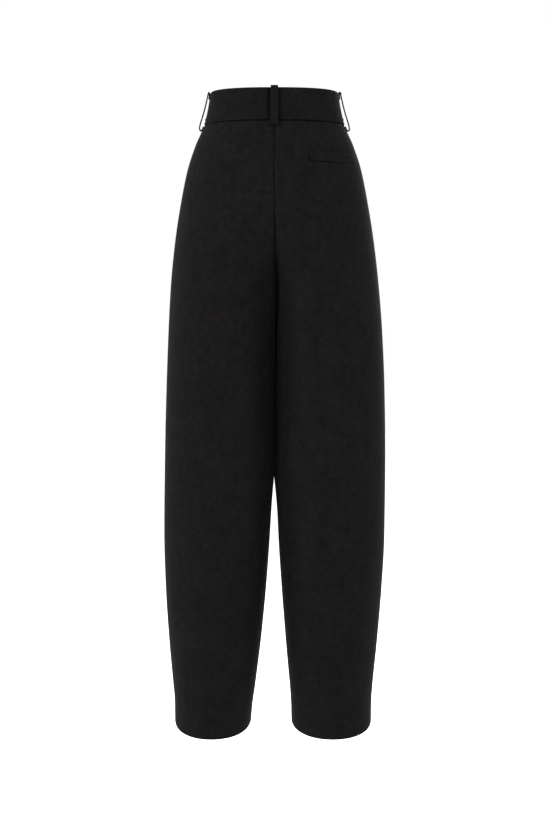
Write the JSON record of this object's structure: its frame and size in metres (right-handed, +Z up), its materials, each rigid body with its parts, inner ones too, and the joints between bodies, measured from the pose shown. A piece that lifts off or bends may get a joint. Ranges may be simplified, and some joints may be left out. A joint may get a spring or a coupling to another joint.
{
  "type": "barrel-leg trousers",
  "caption": "High-waisted black wool trousers, filled out as worn: fitted waistband with belt loops, full legs that curve out to the knee and narrow to open hems.",
  "frame": {"origin": "the middle of the waist, half way up the waistband and in the plane of the side seams", "axes": "+Z up along the wearer, -Y the way the front faces, +X towards the wearer's left"},
  "size_m": [0.3737, 0.2579, 1.0732],
  "materials": {
    "wool": "black wool suiting with a fine close weave and a faint nap",
    "band": "the same black wool suiting, pressed flat over a stiff band"
  },
  "bodies": {
    "root": {"waistband_left": "band", "waistband_right": "band", "back_left": "wool", "back_right": "wool", "front_left": "wool", "front_right": "wool", "fly_lap": "wool", "pocket_welt": "wool", "belt_loop_back": "band", "belt_loop_side_left": "band", "belt_loop_side_right": "band", "belt_loop_front_left": "band", "belt_loop_front_right": "band"}
  },
  "joints": []
}
